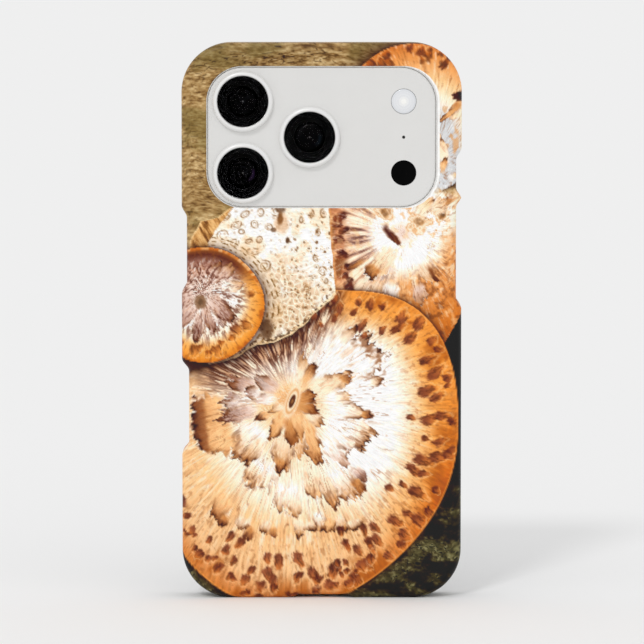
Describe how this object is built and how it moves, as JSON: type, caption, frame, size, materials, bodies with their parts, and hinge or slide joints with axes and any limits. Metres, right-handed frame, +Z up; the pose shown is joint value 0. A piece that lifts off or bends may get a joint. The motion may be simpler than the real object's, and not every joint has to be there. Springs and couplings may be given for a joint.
{
  "type": "smartphone in a printed hard case",
  "caption": "Smartphone standing upright in a hard case with a printed back; raised camera plateau with lenses in the case's opening, side button cut-outs.",
  "frame": {"origin": "centre of the footprint of the whole object, at the bottom edge that it stands on", "axes": "+Z up the phone from its charging port; the camera side with the print faces -Y and the screen +Y; +X is to the right of someone looking at the camera side"},
  "size_m": [0.0768, 0.0132, 0.1532],
  "materials": {
    "printed_shell": "satin, printed",
    "phone_metal": "fine blasted",
    "ring_metal": "satin",
    "clear_glass": "clear",
    "dark_glass": "polished",
    "coated_lens": "coated",
    "black_plastic": "matt",
    "flash_diffuser": "frosted",
    "led_phosphor": "matt",
    "display": "dark, switched off",
    "back_glass": "frosted",
    "steel": "satin"
  },
  "bodies": {
    "phone_in_case": {"case_shell": "printed_shell", "phone_frame": "phone_metal", "back_panel": "back_glass", "lens_ring_upper": "ring_metal", "lens_ring_middle": "ring_metal", "lens_ring_lower": "ring_metal", "lens_glass_upper": "clear_glass", "lens_glass_middle": "clear_glass", "lens_glass_lower": "clear_glass", "lens_barrel_upper": "black_plastic", "lens_barrel_middle": "black_plastic", "lens_barrel_lower": "black_plastic", "lens_element_upper": "coated_lens", "lens_element_middle": "coated_lens", "lens_element_lower": "coated_lens", "flash_diffuser": "flash_diffuser", "flash_led": "led_phosphor", "ranging_window": "dark_glass", "ranging_sensor": "black_plastic", "rear_microphone_mesh": "black_plastic", "screen_glass": "clear_glass", "display_panel": "display", "front_camera": "black_plastic", "front_sensor": "black_plastic", "port_liner": "steel", "port_tongue": "black_plastic", "screw_left": "steel", "screw_right": "steel"},
    "power_button": {"power_button": "phone_metal"},
    "capture_button": {"capture_button": "phone_metal"},
    "action_button": {"action_button": "phone_metal"},
    "volume_up_button": {"volume_up_button": "phone_metal"},
    "volume_down_button": {"volume_down_button": "phone_metal"}
  },
  "joints": [
    {"name": "power_press", "type": "slide", "parent": "phone_in_case", "child": "power_button", "axis": [1, 0, 0], "range_m": [0, 0.00025], "stiffness_N_per_m": 6000},
    {"name": "capture_press", "type": "slide", "parent": "phone_in_case", "child": "capture_button", "axis": [1, 0, 0], "range_m": [0, 0.00025], "stiffness_N_per_m": 6000},
    {"name": "action_press", "type": "slide", "parent": "phone_in_case", "child": "action_button", "axis": [-1, 0, 0], "range_m": [0, 0.00025], "stiffness_N_per_m": 6000},
    {"name": "volume_up_press", "type": "slide", "parent": "phone_in_case", "child": "volume_up_button", "axis": [-1, 0, 0], "range_m": [0, 0.00025], "stiffness_N_per_m": 6000},
    {"name": "volume_down_press", "type": "slide", "parent": "phone_in_case", "child": "volume_down_button", "axis": [-1, 0, 0], "range_m": [0, 0.00025], "stiffness_N_per_m": 6000}
  ]
}
